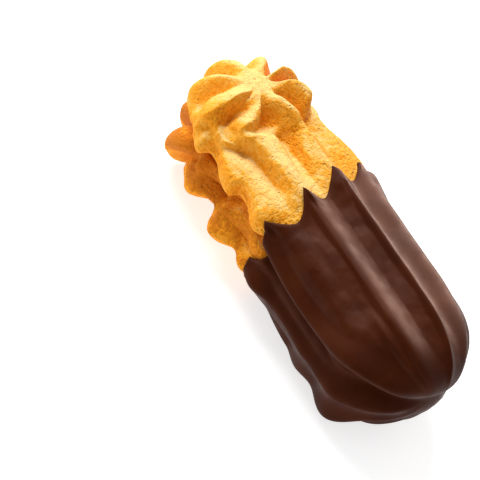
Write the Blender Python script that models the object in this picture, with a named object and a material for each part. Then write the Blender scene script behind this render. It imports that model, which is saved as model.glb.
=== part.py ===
"""A piped butter biscuit: two star-piped fingers laid flat face to flat face, with one end under chocolate.

It lies along X with the star end at -X and the dipped tip at +X, and rests on z = 0.
"""

import math

import bmesh
import bpy
import numpy as np
from mathutils import Matrix, Vector, noise
from mathutils.bvhtree import BVHTree

MM = 0.001

# Both fingers
FINGER_LENGTH = 80 * MM
FINGER_WIDTH = 30 * MM
SEAM_GAP = 0.3 * MM
FINGER_CREST = 0.2
RIBBON_RISE = 2.2
PETAL_LENGTH = 14.0
PETAL_MIDDLE = 7.0
PETAL_RISE = (0.5, 6.0)
BODY_RISE = (0.15, 0.75)
BODY_CLOSE = (2.95, 2.2)
FLAT_RIM = (0.1 * MM, 1.2 * MM)
NOISE_SIZE = 9.0 * MM
NOISE_HEIGHT = 0.35

# Chocolate coat
COAT_CLEARANCE = 0.4 * MM
COAT_THICKNESS = 0.8 * MM
COAT_LEAST_WALL = 0.5 * MM
COAT_HALF_WIDTH = 15.6 * MM
COAT_RISE = 10.5 * MM
COAT_DROP = 14.4 * MM
COAT_POWER_UP = 2.4
COAT_POWER_DOWN = 2.8
COAT_TIP_CUTBACK = 0.22
COAT_NOSE_REACH = 1.045
COAT_NOSE_SHIFT = -1.6 * MM
COAT_NOSE_SHIFTING = (18.0 * MM, 38.0 * MM)
COAT_COLUMNS = 72
COAT_TIP_RINGS = 8
COAT_BODY_RINGS = 12
COAT_CREST = 0.12
COAT_RIB_START = (0.15, 0.85)
COAT_SEAM_DIP = 2.0 * MM
COAT_SEAM_DIP_HALF = 2.0 * MM
COAT_SEAM_DIP_END = (0.9, 0.5)
DIP_SLIMMING = 1.3
FLOOR_FLAT = 0.2 * MM

# Moves the whole so that its box stands centred on the origin
CENTRING = (-1.45 * MM, 0.1 * MM, 0.0)

# The coat's upper edge as angle round the seam line from the crown, in degrees, and distance along the
# biscuit, in millimetres: by turns a point that reaches up a crest and a round dip in the groove beside it.
COAT_EDGE = [
    (-73, -1.2), (-58, 2.2), (-38, -3.1), (-26, -0.2), (5, -5.8), (30, -2.7), (51, -6.5), (68, -3.5),
    (84, -5.0), (92, -1.0), (100, -3.0), (118, 0.5), (140, -2.0), (160, 1.5), (180, -1.0), (200, 2.5),
    (222, 0.5), (240, 2.0), (256, 0.5), (266, 3.0), (287, -1.2),
]

# The coat's crests: angle in degrees, height of the crest, level of the groove that follows, both in
# millimetres from the plain coat, and how far across the groove lies.
COAT_RIBS = [
    (-50, 0.0, -0.35, 0.45), (-39, 0.2, -1.7, 0.42), (7, 0.4, -1.7, 0.45), (51, 0.3, -0.5, 0.5),
    (82, 0.4, -0.9, 0.45), (98, 0.3, -0.8, 0.5), (125, 0.3, -1.0, 0.5), (155, 0.8, -0.7, 0.5),
    (180, 0.9, -0.7, 0.5), (206, 0.8, -0.7, 0.5), (230, 0.5, -0.6, 0.5), (250, 0.3, -1.5, 0.66),
    (278, 1.0, -0.3, 0.5),
]

# Lobes of the coat over the lower finger's ruffle: place along, angle, half length, half angle, height.
COAT_LOBES = [
    (4.5, 246, 6.0, 20, 1.9), (20.5, 238, 5.0, 18, 1.3), (31.0, 232, 6.0, 22, 2.2),
]

# Mesh steps between two ribs, and mesh rings over star, body and tip
TOP_MESH = (10, 18, 18, 6)
BOTTOM_MESH = (6, 13, 17, 6)

# Each rib of a finger runs from the star over the body to the dipped tip. "star" and "body" give its angle
# round the finger from the crown, in degrees, its height and the level of the groove beside it, in
# millimetres above the plain finger, and how far across to the next rib that groove lies. "twist" turns a
# petal as it runs out, in degrees per millimetre. "reach" is how far a petal runs from the star's middle, and
# over what length it ends. "join" is where the petal's line passes over into the body's. Bumps are lobes or
# hollows: middle, half sizes and height, in millimetres.
TOP_FINGER = {
    "half_width": 15.0 * MM,
    "height": 10.3 * MM,
    "power": 2.4,
    "equator": 2.0 * MM,
    "edge_rounding": 1.35,
    "ray_height": 4.0 * MM,
    "star": (-27.3 * MM, -2.9 * MM),
    "star_reach": 36.8 * MM,
    "star_taper": 0.13,
    "nearing": (-8.0 * MM, -26.0 * MM),
    "bend": -2.0 * MM,
    "bending": (-8.0 * MM, -26.0 * MM),
    "dip": (-4.0 * MM, 3.0 * MM),
    "neck": -15.5 * MM,
    "mound": 1.2,
    "skirt": (-0.2 * MM, 0.6 * MM, 3.0 * MM, 5.5 * MM),
    "scallop": 1.3,
    "scallop_rise": (-29.0 * MM, -22.0 * MM),
    "scallop_pitch": 10.4 * MM,
    "scallop_shift": -0.8 * MM,
    "scallop_fall": 0.16,
    "scallop_crest": 0.95,
    "seed": 3.0,
    "ribs": [
        {"star": (-49, -0.3, -2.7, 0.30), "twist": -4.2, "body": (-54, -0.1, -2.1, 0.47),
         "reach": (11.2, 0.8), "join": (0.80, 1.02)},
        {"star": (15, 0.5, -3.4, 0.50), "twist": 1.0, "body": (13, 0.0, -2.7, 0.62),
         "reach": (10.0, 2.0), "join": (0.6, 1.05)},
        {"star": (80, 1.2, -3.0, 0.62), "twist": 0.0, "body": (76, -0.6, -1.2, 0.6),
         "reach": (12.5, 1.5), "join": (0.6, 1.05)},
        {"star": (108, 2.1, -3.2, 0.42), "twist": 0.0, "body": (98, 0.4, 0.0, 0.9),
         "reach": (14.0, 1.5), "join": (0.6, 1.05)},
        {"star": (138, 1.9, -1.6, 0.50), "twist": 0.0, "body": (140, 0.0, 0.0, 0.5),
         "reach": (15.0, 1.0), "join": (0.6, 1.05)},
        {"star": (187, 0.6, -2.6, 0.60), "twist": 0.0, "body": (200, 0.0, 0.0, 0.5),
         "reach": (14.5, 1.0), "join": (0.6, 1.05)},
        {"star": (230, 0.5, -1.8, 0.42), "twist": -2.5, "body": (250, 0.5, 0.0, 0.5),
         "reach": (12.2, 1.2), "join": (0.6, 1.0)},
        {"star": (278, 0.9, -1.5, 0.20), "twist": -3.0, "body": (272, 0.8, -0.9, 0.5),
         "reach": (12.8, 0.9), "join": (0.72, 1.02)},
    ],
    "bumps": [
        (-18.6, -11.6, 8.8, 3.6, 3.2, 2.6, 0.9),
        (-16.8, -11.9, 6.6, 4.6, 2.2, 2.2, -1.3),
        (-23.5, 12.5, 5.0, 6.0, 5.0, 5.0, 2.7),
    ],
}

BOTTOM_FINGER = {
    "half_width": 16.0 * MM,
    "height": 13.4 * MM,
    "power": 2.0,
    "equator": 4.0 * MM,
    "edge_rounding": 1.5,
    "ray_height": 5.0 * MM,
    "star": (-26.5 * MM, -1.0 * MM),
    "star_reach": 36.5 * MM,
    "star_taper": 0.26,
    "nearing": (8.0 * MM, -20.0 * MM),
    "bend": -1.5 * MM,
    "bending": (6.0 * MM, -4.0 * MM),
    "dip": (-3.0 * MM, 3.0 * MM),
    "neck": -15.0 * MM,
    "mound": 1.2,
    "skirt": (0.6 * MM, 3.0 * MM, 9.0 * MM, 12.0 * MM),
    "scallop": 1.7,
    "scallop_rise": (-28.0 * MM, -16.0 * MM),
    "scallop_pitch": 11.2 * MM,
    "scallop_shift": -9.0 * MM,
    "scallop_fall": 0.5,
    "scallop_crest": 1.0,
    "seed": 11.0,
    "ribs": [
        {"star": (-45, 0.0, -2.0, 0.5), "twist": 2.0, "body": (-45, 0.0, -2.2, 0.5),
         "reach": (10.0, 2.0), "join": (0.5, 1.1)},
        {"star": (0, 0.0, -2.0, 0.5), "twist": 2.0, "body": (-10, 0.0, -2.4, 0.5),
         "reach": (10.0, 2.0), "join": (0.5, 1.1)},
        {"star": (40, 0.0, -2.0, 0.5), "twist": 2.0, "body": (40, 0.0, -2.2, 0.5),
         "reach": (10.0, 2.0), "join": (0.5, 1.1)},
        {"star": (80, 0.0, -2.0, 0.5), "twist": 2.0, "body": (80, 0.5, -0.8, 0.5),
         "reach": (14.0, 2.0), "join": (0.5, 1.1)},
        {"star": (115, 0.0, -2.0, 0.5), "twist": 2.0, "body": (104, 0.5, 0.0, 1.0),
         "reach": (15.0, 2.0), "join": (0.5, 1.1)},
        {"star": (150, 0.0, -2.0, 0.5), "twist": 2.0, "body": (140, 0.0, 0.0, 0.5),
         "reach": (15.0, 2.0), "join": (0.5, 1.1)},
        {"star": (178, 0.0, -2.0, 0.5), "twist": 2.0, "body": (180, 0.0, 0.0, 0.5),
         "reach": (15.0, 2.0), "join": (0.5, 1.1)},
        {"star": (207, 0.5, -2.4, 0.5), "twist": 2.0, "body": (226, 0.0, 0.0, 0.5),
         "reach": (15.0, 2.0), "join": (0.6, 1.1)},
        {"star": (244, 1.9, -2.8, 0.4), "twist": 1.0, "body": (254, 0.6, -2.0, 0.5),
         "reach": (17.0, 1.5), "join": (0.8, 1.1)},
        {"star": (276, 0.4, -2.0, 0.5), "twist": 0.0, "body": (276, 1.0, -1.2, 0.6),
         "reach": (14.0, 2.0), "join": (0.7, 1.1)},
    ],
    "bumps": [(1.9 - 11.0 * i, -14.3, 1.6, 3.2, 2.6, 1.8, 1.6) for i in range(3)],
}


def smooth_step(low, high, value):
    """Rises from 0 at low to 1 at high, or falls where low is the greater."""
    t = np.clip((value - low) / (high - low), 0.0, 1.0)
    return t * t * (3 - 2 * t)


def mix(a, b, t):
    return a + (b - a) * t


def fullness(finger, p):
    """Rises through 1 at the skin of the plain finger: a round-ended bar with an arched section."""
    half = FINGER_WIDTH / 2
    nearing = smooth_step(*finger["nearing"], p[:, 0])
    beyond_tip = np.maximum(0.0, p[:, 0] - (FINGER_LENGTH / 2 - half))
    beyond_star = np.maximum(0.0, half - finger["star_reach"] - p[:, 0])
    narrowing = (1 - finger["star_taper"] * nearing) * finger["half_width"] / half
    aside = p[:, 1] - finger["bend"] * smooth_step(*finger["bending"], p[:, 0])
    across = np.hypot(beyond_tip + beyond_star, aside / narrowing) / half
    equator = finger["equator"]
    rise = p[:, 2] - equator
    span = np.where(rise > 0, finger["height"] - equator, equator * finger["edge_rounding"])
    return across ** finger["power"] + (abs(rise) / span) ** finger["power"]


def skin_normals(finger, p):
    """The directions square to the plain finger's skin, away from its flat face."""
    step = 0.05 * MM
    slopes = [fullness(finger, p + offset) - fullness(finger, p - offset) for offset in np.eye(3) * step]
    normals = np.stack(slopes, axis=1) + 1e-9
    return normals / np.linalg.norm(normals, axis=1)[:, None]


def halved(inside, origin, direction):
    """Finds how far each ray runs inside a plain form, by halving."""
    near = np.zeros(len(origin))
    far = np.full(len(origin), FINGER_LENGTH)
    for _ in range(26):
        middle = (near + far) / 2
        within = inside(origin + direction * middle[:, None])
        near = np.where(within, middle, near)
        far = np.where(within, far, middle)
    return near


def ring_frames(finger, place):
    """Gives the ray origin, ring axis, crown direction and cone angle for places from star (0) to tip (3).

    Rings shrink onto the star with the crown turning forward, run square to the body, and close on the tip.
    """
    star_x, star_y = finger["star"]
    low = finger["ray_height"]
    neck = finger["neck"]
    nose = (FINGER_LENGTH - FINGER_WIDTH) / 2
    turn = np.clip(place, 0, 1) * math.pi / 2
    rise = finger["height"] - low
    star_origin = star_x + rise * np.sin(turn) + (neck - star_x - rise) * (1 - np.cos(turn))
    x = np.where(place < 1, star_origin, mix(neck, nose, np.clip(place - 1, 0, 1)))
    z = low - smooth_step(2, 3, place) * (low - finger["equator"])
    zero = np.zeros_like(place)
    origin = np.stack([x, star_y * np.cos(turn), z], axis=1)
    axis = np.stack([-np.sin(turn), zero, np.cos(turn)], axis=1)
    crown = np.stack([np.cos(turn), zero, np.sin(turn)], axis=1)
    cone = turn + np.clip(place - 2, 0, 1) * math.pi / 2
    return origin, axis, crown, cone


def fall(u, crest):
    """Falls from a crest at 0 to the groove at 1: round in the groove, and rounded by crest at the top."""
    rounded = (np.hypot(u, crest) - crest) / (math.hypot(1, crest) - crest)
    return 1 - (1 - rounded) ** 2


def groove(start, end, level, at, u, crest):
    """Height between two rib crests, where at is the share of the way at which the groove lies."""
    near = mix(start, level, fall(u / np.maximum(at, 0.001), crest))
    far = mix(end, level, fall((1 - u) / np.maximum(1 - at, 0.001), crest))
    return np.where(u < at, near, far)


def cliff(start, end, level, at, u):
    """Height across ribbons of dough: a level top, a cliff to a sharp foot, then up onto the next ribbon."""
    down = mix(start, level, smooth_step(0, 1, u / np.maximum(at, 0.001)))
    up = mix(end, level, (1 - np.clip((u - at) / np.maximum(1 - at, 0.001), 0, 1)) ** RIBBON_RISE)
    return np.where(u < at, down, up)


def across_ribs(finger, place, name, part, turn_over=0):
    """A value of the ribs, carried over evenly from each rib to the next."""
    values = np.array([np.atleast_1d(rib[name])[part] for rib in finger["ribs"]])
    return np.interp(place, np.arange(len(values) + 1), np.append(values, values[0] + turn_over))


def rib_place(finger, column, stage):
    """Rib number and share of the way to the next rib, where half of the columns lie before the groove."""
    index = column.astype(int)
    at = np.array([rib[stage][3] for rib in finger["ribs"]])[index % len(finger["ribs"])]
    half = column - index
    return index, np.where(half < 0.5, 2 * half * at, at + (2 * half - 1) * (1 - at))


def rib_angle(finger, column, place):
    """Angle round the finger of each column, in radians."""
    join_start = across_ribs(finger, column, "join", 0)
    join_end = across_ribs(finger, column, "join", 1)
    on_body = smooth_step(join_start, join_end, place)
    star_place = np.add(*rib_place(finger, column, "star"))
    body_place = np.add(*rib_place(finger, column, "body"))
    star = across_ribs(finger, star_place, "star", 0, 360)
    from_middle = np.minimum(place, 1) * PETAL_LENGTH - PETAL_MIDDLE
    star += across_ribs(finger, star_place, "twist", 0) * from_middle
    return np.radians(mix(star, across_ribs(finger, body_place, "body", 0, 360), on_body))


def rib_height(finger, column, stage):
    """Height of the ribs and grooves above the plain finger, in millimetres."""
    table = np.array([rib[stage] for rib in finger["ribs"]])
    index, share = rib_place(finger, column, stage)
    here = table[index % len(table)]
    following = table[(index + 1) % len(table)]
    if stage == "star":
        return cliff(here[:, 1], following[:, 1], here[:, 2], here[:, 3], share)
    return groove(here[:, 1], following[:, 1], here[:, 2], here[:, 3], share, FINGER_CREST)


def scallop(finger, p):
    """The waves of the lowest rib, from -1 in a notch to 1 at a lobe."""
    phase = ((p[:, 0] - finger["scallop_shift"]) / finger["scallop_pitch"]) % 1.0
    drop = 1 - smooth_step(0.0, finger["scallop_fall"], phase)
    climb = smooth_step(finger["scallop_fall"], finger["scallop_crest"], phase)
    return 2 * np.maximum(drop, climb) - 1


def bump_height(finger, p):
    """Height of the lobes and hollows at each point, in millimetres."""
    total = np.zeros(len(p))
    for bump in finger["bumps"]:
        off = (p / MM - bump[0:3]) / bump[3:6]
        total += bump[6] * (1 - smooth_step(0.0, 1.0, np.linalg.norm(off, axis=1)))
    return total


def finger_points(finger, column, place):
    """The points of the piped surface for columns round the finger and places from star to tip."""
    origin, axis, crown, cone = ring_frames(finger, place)
    angle = rib_angle(finger, column, place)
    ring = crown * np.cos(angle)[:, None] + np.array([0, 1, 0]) * np.sin(angle)[:, None]
    direction = axis * np.cos(cone)[:, None] + ring * np.sin(cone)[:, None]
    length = halved(lambda p: (p[:, 2] >= 0) & (fullness(finger, p) < 1), origin, direction)
    point = origin + direction * length[:, None]
    distance = np.linalg.norm(point - np.array([*finger["star"], finger["height"]]), axis=1) / MM
    reach = across_ribs(finger, column, "reach", 0)
    ending = across_ribs(finger, column, "reach", 1)
    petal = 1 - smooth_step(0.0, 1.0, (distance - reach + ending) / (2 * ending))
    dip = smooth_step(*finger["dip"], point[:, 0])
    body = rib_height(finger, column, "body") * smooth_step(*BODY_CLOSE, place)
    body = body * smooth_step(*BODY_RISE, place) * (1 - 0.5 * dip) - DIP_SLIMMING * dip
    raised = finger["mound"] * (1 - 0.5 * smooth_step(0.0, 1.0, distance / reach))
    petals = raised + rib_height(finger, column, "star") * smooth_step(*PETAL_RISE, distance)
    height = mix(body, petals, petal)
    low, low_full, high_full, high = finger["skirt"]
    skirt = smooth_step(high, high_full, point[:, 2]) * smooth_step(low, low_full, point[:, 2])
    skirt *= smooth_step(*finger["scallop_rise"], point[:, 0]) * (1 - dip)
    height += skirt * scallop(finger, point) * finger["scallop"]
    height += bump_height(finger, point)
    height += NOISE_HEIGHT * noise_at(point / NOISE_SIZE + np.array([finger["seed"], 0, 0]))
    flat = smooth_step(*FLAT_RIM, point[:, 2])
    shaped = point + skin_normals(finger, point) * (height * flat * MM)[:, None]
    shaped[:, 2] = np.maximum(0.0, shaped[:, 2])
    return shaped


def noise_at(points):
    return np.array([noise.noise(Vector(point)) for point in points])


def ball(name, columns, rings):
    """A plain ball mesh whose columns and rings are then carried onto a surface."""
    mesh = bpy.data.meshes.new(name)
    bm = bmesh.new()
    bmesh.ops.create_uvsphere(bm, u_segments=columns, v_segments=rings, radius=1)
    bm.to_mesh(mesh)
    bm.free()
    return bpy.data.objects.new(name, mesh)


def ball_places(mesh, columns, rings):
    """The column and ring numbers of the vertices of the ball."""
    co = np.array([vertex.co for vertex in mesh.vertices])
    ring = np.rint(np.arccos(np.clip(co[:, 2], -1, 1)) / math.pi * rings).astype(int)
    turn = np.arctan2(co[:, 1], co[:, 0]) / (2 * math.pi) % 1.0
    return np.rint(turn * columns).astype(int) % columns, ring


def make_finger(name, finger, placement, per_rib, star_rings, body_rings, tip_rings):
    columns = len(finger["ribs"]) * per_rib
    rings = star_rings + body_rings + tip_rings
    obj = ball(name, columns, rings)
    column, ring = ball_places(obj.data, columns, rings)
    marks = [0, star_rings, star_rings + body_rings, rings]
    place = np.clip(np.interp(ring, marks, [0, 1, 2, 3]), 1e-4, 3 - 1e-4)
    points = finger_points(finger, column / per_rib, place)
    obj.data.vertices.foreach_set("co", points.ravel())
    obj.data.transform(placement)
    for vertex in obj.data.vertices:
        vertex.co.z = max(vertex.co.z, 0.0)
    close_and_orient(obj.data)
    return obj


def close_and_orient(mesh):
    bm = bmesh.new()
    bm.from_mesh(mesh)
    bmesh.ops.remove_doubles(bm, verts=bm.verts, dist=0.002 * MM)
    bmesh.ops.recalc_face_normals(bm, faces=bm.faces)
    bmesh.ops.triangulate(bm, faces=bm.faces)
    bm.to_mesh(mesh)
    bm.free()


def tree_of(obj):
    bm = bmesh.new()
    bm.from_mesh(obj.data)
    tree = BVHTree.FromBMesh(bm)
    bm.free()
    return tree


def reach_of(trees, origin, direction):
    """How far the outermost finger surface lies from the seam line along a ray."""
    ray = Vector(direction)
    start = Vector(origin) + ray * FINGER_LENGTH
    hits = [tree.ray_cast(start, -ray) for tree in trees]
    return max([FINGER_LENGTH - hit[3] for hit in hits if hit[0] is not None], default=0.0)


def coat_rays(seam_height, angle, share):
    """The rays that carry the coat's points: share runs from 0 at the tip to 1 at the coat's upper edge."""
    nose = (FINGER_LENGTH - FINGER_WIDTH) / 2
    tip_share = COAT_TIP_RINGS / (COAT_TIP_RINGS + COAT_BODY_RINGS)
    cone = np.minimum(share / tip_share, 1) * math.pi / 2
    along = np.clip((share - tip_share) / (1 - tip_share), 0, 1)
    x = mix(nose, coat_edge(angle), along)
    origin = np.stack([x, np.zeros_like(x), np.full_like(x, seam_height)], axis=1)
    direction = np.stack([np.cos(cone), np.sin(cone) * np.sin(angle), np.sin(cone) * np.cos(angle)], axis=1)
    return origin, direction


def inside_coat(seam_height, p):
    """Tells which points lie in the plain coat, which is deeper and squarer below the seam than above it."""
    rise = p[:, 2] - seam_height
    cutback = 1 + COAT_TIP_CUTBACK * np.maximum(0.0, -rise) / COAT_DROP
    beyond = np.maximum(0.0, p[:, 0] - (FINGER_LENGTH - FINGER_WIDTH) / 2) * cutback / COAT_NOSE_REACH
    aside = p[:, 1] - COAT_NOSE_SHIFT * smooth_step(*COAT_NOSE_SHIFTING, p[:, 0])
    across = np.hypot(beyond, aside) / COAT_HALF_WIDTH
    above = across**COAT_POWER_UP + (abs(rise) / COAT_RISE) ** COAT_POWER_UP
    below = across**COAT_POWER_DOWN + (abs(rise) / COAT_DROP) ** COAT_POWER_DOWN
    return np.where(rise > 0, above, below) < 1


def coat_rib(angle):
    """Height of the coat's crests and grooves above the plain coat, in millimetres."""
    table = np.array(COAT_RIBS + [(COAT_RIBS[0][0] + 360, *COAT_RIBS[0][1:])])
    degrees = (np.degrees(angle) - table[0, 0]) % 360 + table[0, 0]
    index = np.clip(np.searchsorted(table[:, 0], degrees, side="right") - 1, 0, len(COAT_RIBS) - 1)
    here = table[index]
    following = table[index + 1]
    u = (degrees - here[:, 0]) / (following[:, 0] - here[:, 0])
    return groove(here[:, 1], following[:, 1], here[:, 2], here[:, 3], u, COAT_CREST)


def coat_edge(angle):
    """Distance along the biscuit of the coat's upper edge: round in the grooves, pointed on the crests."""
    table = np.array(COAT_EDGE)
    degrees = (np.degrees(angle) - table[0, 0]) % 360 + table[0, 0]
    index = np.clip(np.searchsorted(table[:, 0], degrees, side="right") - 1, 0, len(table) - 2)
    here = table[index]
    following = table[index + 1]
    u = (degrees - here[:, 0]) / (following[:, 0] - here[:, 0])
    from_crest = mix(following[:, 1], here[:, 1], (1 - u) ** 1.7)
    to_crest = mix(here[:, 1], following[:, 1], u**1.7)
    return np.where(index % 2 == 0, from_crest, to_crest) * MM


def coat_lobes(angle, x):
    """Height of the coat's lobes, in millimetres."""
    total = np.zeros(len(x))
    for along, middle, half_length, half_angle, height in COAT_LOBES:
        turn = (np.degrees(angle) - middle + 180) % 360 - 180
        off = np.hypot((x / MM - along) / half_length, turn / half_angle)
        total += height * (1 - smooth_step(0.0, 1.0, off))
    return total


def make_coat(name, trees, seam_height):
    """A cup of chocolate: a ball pushed in on itself, its inner half lying just clear of the two fingers."""
    skin_rings = COAT_TIP_RINGS + COAT_BODY_RINGS
    obj = ball(name, COAT_COLUMNS, 2 * skin_rings)
    column, ball_ring = ball_places(obj.data, COAT_COLUMNS, 2 * skin_rings)
    ring = np.minimum(ball_ring, 2 * skin_rings - ball_ring)
    step = 2 * math.pi / COAT_COLUMNS

    reaches = np.zeros((2 * skin_rings + 1, 2 * COAT_COLUMNS))
    angles = np.arange(2 * COAT_COLUMNS) * step / 2
    for row in range(2 * skin_rings + 1):
        rays = coat_rays(seam_height, angles, np.full_like(angles, row / 2 / skin_rings))
        reaches[row] = [reach_of(trees, *ray) for ray in zip(*rays)]
    under = np.zeros(len(ring))
    for i, (c, r) in enumerate(zip(column, ring)):
        spread = COAT_COLUMNS if r < 2 else 2
        rows = reaches[max(2 * r - 1, 0):2 * r + 2]
        under[i] = rows[:, np.arange(2 * c - spread, 2 * c + spread + 1) % (2 * COAT_COLUMNS)].max()

    angle = column * step
    origin, direction = coat_rays(seam_height, angle, ring / skin_rings)
    from_tip = ring / COAT_TIP_RINGS
    shape = halved(lambda p: inside_coat(seam_height, p), origin, direction)
    x = origin[:, 0] + direction[:, 0] * shape
    shape += (coat_rib(angle) + coat_lobes(angle, x)) * smooth_step(*COAT_RIB_START, from_tip) * MM
    rise = direction[:, 2] * shape
    seam_dip = COAT_SEAM_DIP * np.exp(-(rise / COAT_SEAM_DIP_HALF) ** 2)
    shape -= seam_dip * smooth_step(*COAT_SEAM_DIP_END, from_tip)
    inner = np.maximum(shape - COAT_THICKNESS, under + COAT_CLEARANCE)
    outer = np.maximum(shape, inner + COAT_LEAST_WALL)
    length = np.where(ball_ring < skin_rings, inner, outer)
    length = np.where(ring == skin_rings, mix(inner, outer, 0.4), length)
    points = origin + direction * length[:, None]
    floor = np.where(ball_ring > skin_rings, 0.0, COAT_LEAST_WALL)
    points[:, 2] = np.maximum(points[:, 2], floor)
    obj.data.vertices.foreach_set("co", points.ravel())
    close_and_orient(obj.data)
    return obj


def material(name, colour, roughness):
    made = bpy.data.materials.new(name)
    made.use_nodes = True
    shader = made.node_tree.nodes["Principled BSDF"]
    shader.inputs["Base Color"].default_value = (*colour, 1)
    shader.inputs["Roughness"].default_value = roughness
    shader.inputs["Metallic"].default_value = 0.0
    return made


for item in list(bpy.data.objects):
    bpy.data.objects.remove(item)

part = bpy.data.collections.new("viennese_finger")
bpy.context.scene.collection.children.link(part)

seam = COAT_DROP - FLOOR_FLAT
top_placement = Matrix.Translation((0, 0, seam + SEAM_GAP / 2))
bottom_placement = Matrix.Translation((0, 0, seam - SEAM_GAP / 2)) @ Matrix.Diagonal((1, 1, -1, 1))
top = make_finger("top_finger", TOP_FINGER, top_placement, *TOP_MESH)
bottom = make_finger("bottom_finger", BOTTOM_FINGER, bottom_placement, *BOTTOM_MESH)
coat = make_coat("chocolate_coat", [tree_of(top), tree_of(bottom)], seam)

biscuit = material("baked_biscuit", (0.80, 0.48, 0.17), 0.8)
chocolate = material("dark_chocolate", (0.085, 0.028, 0.014), 0.35)
for piece, finish in ((top, biscuit), (bottom, biscuit), (coat, chocolate)):
    piece.data.materials.append(finish)
    piece.data.transform(Matrix.Translation(CENTRING))
    part.objects.link(piece)
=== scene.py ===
import math

import bmesh
import bpy
import numpy as np
from mathutils import Matrix, Vector, noise
from mathutils.bvhtree import BVHTree


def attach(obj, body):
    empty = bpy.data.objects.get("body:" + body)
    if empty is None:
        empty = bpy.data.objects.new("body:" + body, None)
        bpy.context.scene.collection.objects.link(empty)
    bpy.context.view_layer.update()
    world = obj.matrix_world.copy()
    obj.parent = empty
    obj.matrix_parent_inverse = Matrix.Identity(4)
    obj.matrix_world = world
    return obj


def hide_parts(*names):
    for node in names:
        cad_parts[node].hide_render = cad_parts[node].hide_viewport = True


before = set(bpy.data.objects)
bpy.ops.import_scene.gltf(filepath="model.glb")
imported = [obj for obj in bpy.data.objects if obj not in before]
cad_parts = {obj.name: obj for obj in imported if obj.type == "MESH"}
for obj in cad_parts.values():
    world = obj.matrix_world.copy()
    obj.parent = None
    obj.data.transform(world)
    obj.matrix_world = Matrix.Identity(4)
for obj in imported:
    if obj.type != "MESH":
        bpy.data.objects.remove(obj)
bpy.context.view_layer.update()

# A piped butter biscuit: two fingers, flat face to flat face, star end at -X, chocolate-dipped tip at +X.
# Lengths in the dictionaries are millimetres. Angles are degrees round a finger, from its crown towards +Y.
mm = 0.001
coarser = 1

whole = {
    "length": 80.0,
    "width": 30.0,
    "seamGap": 0.3,
    "seamHeight": 14.2,
    "centring": (-1.45, 0.1),
}
noseMiddle = (whole["length"] - whole["width"]) / 2    # where the round tip starts


def smoothStep(low, high, value):
    t = np.clip((value - low) / (high - low), 0.0, 1.0)
    return t * t * (3 - 2 * t)


def mix(a, b, t):
    return a + (b - a) * t


def noiseAt(points, size, seed):
    shift = Vector((seed, 0, 0))
    return np.array([noise.noise(Vector(p) / size + shift) for p in points])


# how far each ray runs inside a plain form
def lengthInside(inside, origin, direction, halvings=26):
    near = np.zeros(len(origin))
    far = np.full(len(origin), whole["length"])
    for _ in range(halvings):
        middle = (near + far) / 2
        within = inside(origin + direction * middle[:, None])
        near = np.where(within, middle, near)
        far = np.where(within, far, middle)
    return near


# from a ridge at 0 to a groove at 1: crest rounds the one, and hollow the other
def fall(u, crest, hollow):
    rounded = (np.hypot(u, crest) - crest) / (math.hypot(1, crest) - crest)
    return rounded + hollow * rounded * (1 - rounded)


# u runs from 0 on a rib to 1 on the next, with the groove at "at": shares of the way to it from either rib
def sharesOf(u, at, least=0.001):
    return u / np.maximum(at, least), (1 - u) / np.maximum(1 - at, least)


def groove(start, end, level, at, u, crest, hollow):
    down, up = sharesOf(u, at)
    before = mix(start, level, fall(down, crest, hollow))
    after = mix(end, level, fall(up, crest, hollow))
    return np.where(u < at, before, after)


# a plain ball whose columns and rings are then carried onto a surface
def ball(name, columns, rings):
    mesh = bpy.data.meshes.new(name)
    bm = bmesh.new()
    bmesh.ops.create_uvsphere(bm, u_segments=columns, v_segments=rings, radius=1)
    bm.to_mesh(mesh)
    bm.free()
    piece = bpy.data.objects.new(name, mesh)
    bpy.context.scene.collection.objects.link(piece)
    co = np.array([vertex.co for vertex in mesh.vertices])
    ring = np.rint(np.arccos(np.clip(co[:, 2], -1, 1)) / math.pi * rings).astype(int)
    turn = np.arctan2(co[:, 1], co[:, 0]) / (2 * math.pi) % 1.0
    return piece, np.rint(turn * columns).astype(int) % columns, ring


def carry(piece, points, doubles=0.002):
    piece.data.vertices.foreach_set("co", (points * mm).ravel())
    bm = bmesh.new()
    bm.from_mesh(piece.data)
    bmesh.ops.remove_doubles(bm, verts=bm.verts, dist=doubles * mm)
    bmesh.ops.recalc_face_normals(bm, faces=bm.faces)
    for face in bm.faces:
        face.smooth = True
    bm.to_mesh(piece.data)
    bm.free()
    print(piece.name, len(piece.data.polygons), "faces")


def readVertices(mesh, name):
    values = np.zeros(3 * len(mesh.vertices))
    mesh.vertices.foreach_get(name, values)
    return values.reshape(-1, 3)


# what both fingers share
piping = {
    "starReach": 36.5,
    "dipSlimming": 1.3,
    "dipFlattening": 0.5,
    "petalLength": 14.0,
    "petalMiddle": 7.0,
    "petalStart": (2.2, 7.5),
    "petalClimb": 2.2,
    "mound": 1.2,
    "moundFall": 0.5,
    "crest": 0.12,
    "hollow": 0.35,
    "ridgeStart": (0.15, 0.75),    # in ring places, as is the next
    "ridgeEnd": (2.95, 2.2),
    "flatFace": (0.1, 1.2),    # heights over which the flat face gives way to the relief
    "foldStart": (1.0, 4.0),
    "foldEnding": 0.25,
    "slopeStep": 0.05,
    "lumps": ((9.0, 0.35), (2.6, 0.16), (0.9, 0.07)),    # size and height
}


# A rib has, for the star and for the body, its angle, crest height, groove level and share of the way to
# the groove. twist turns its petal, in degrees per mm. reach says how far from the star's middle the petal
# gives way to the ridge, and half of the length that this takes. join says the same for the two angles, by
# where it starts and ends in ring places, as in ringFrames.
def rib(star, body, twist=2.0, reach=(15.0, 2.0), join=(0.5, 1.1)):
    return {"star": star, "body": body, "twist": twist, "reach": reach, "join": join}


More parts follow.
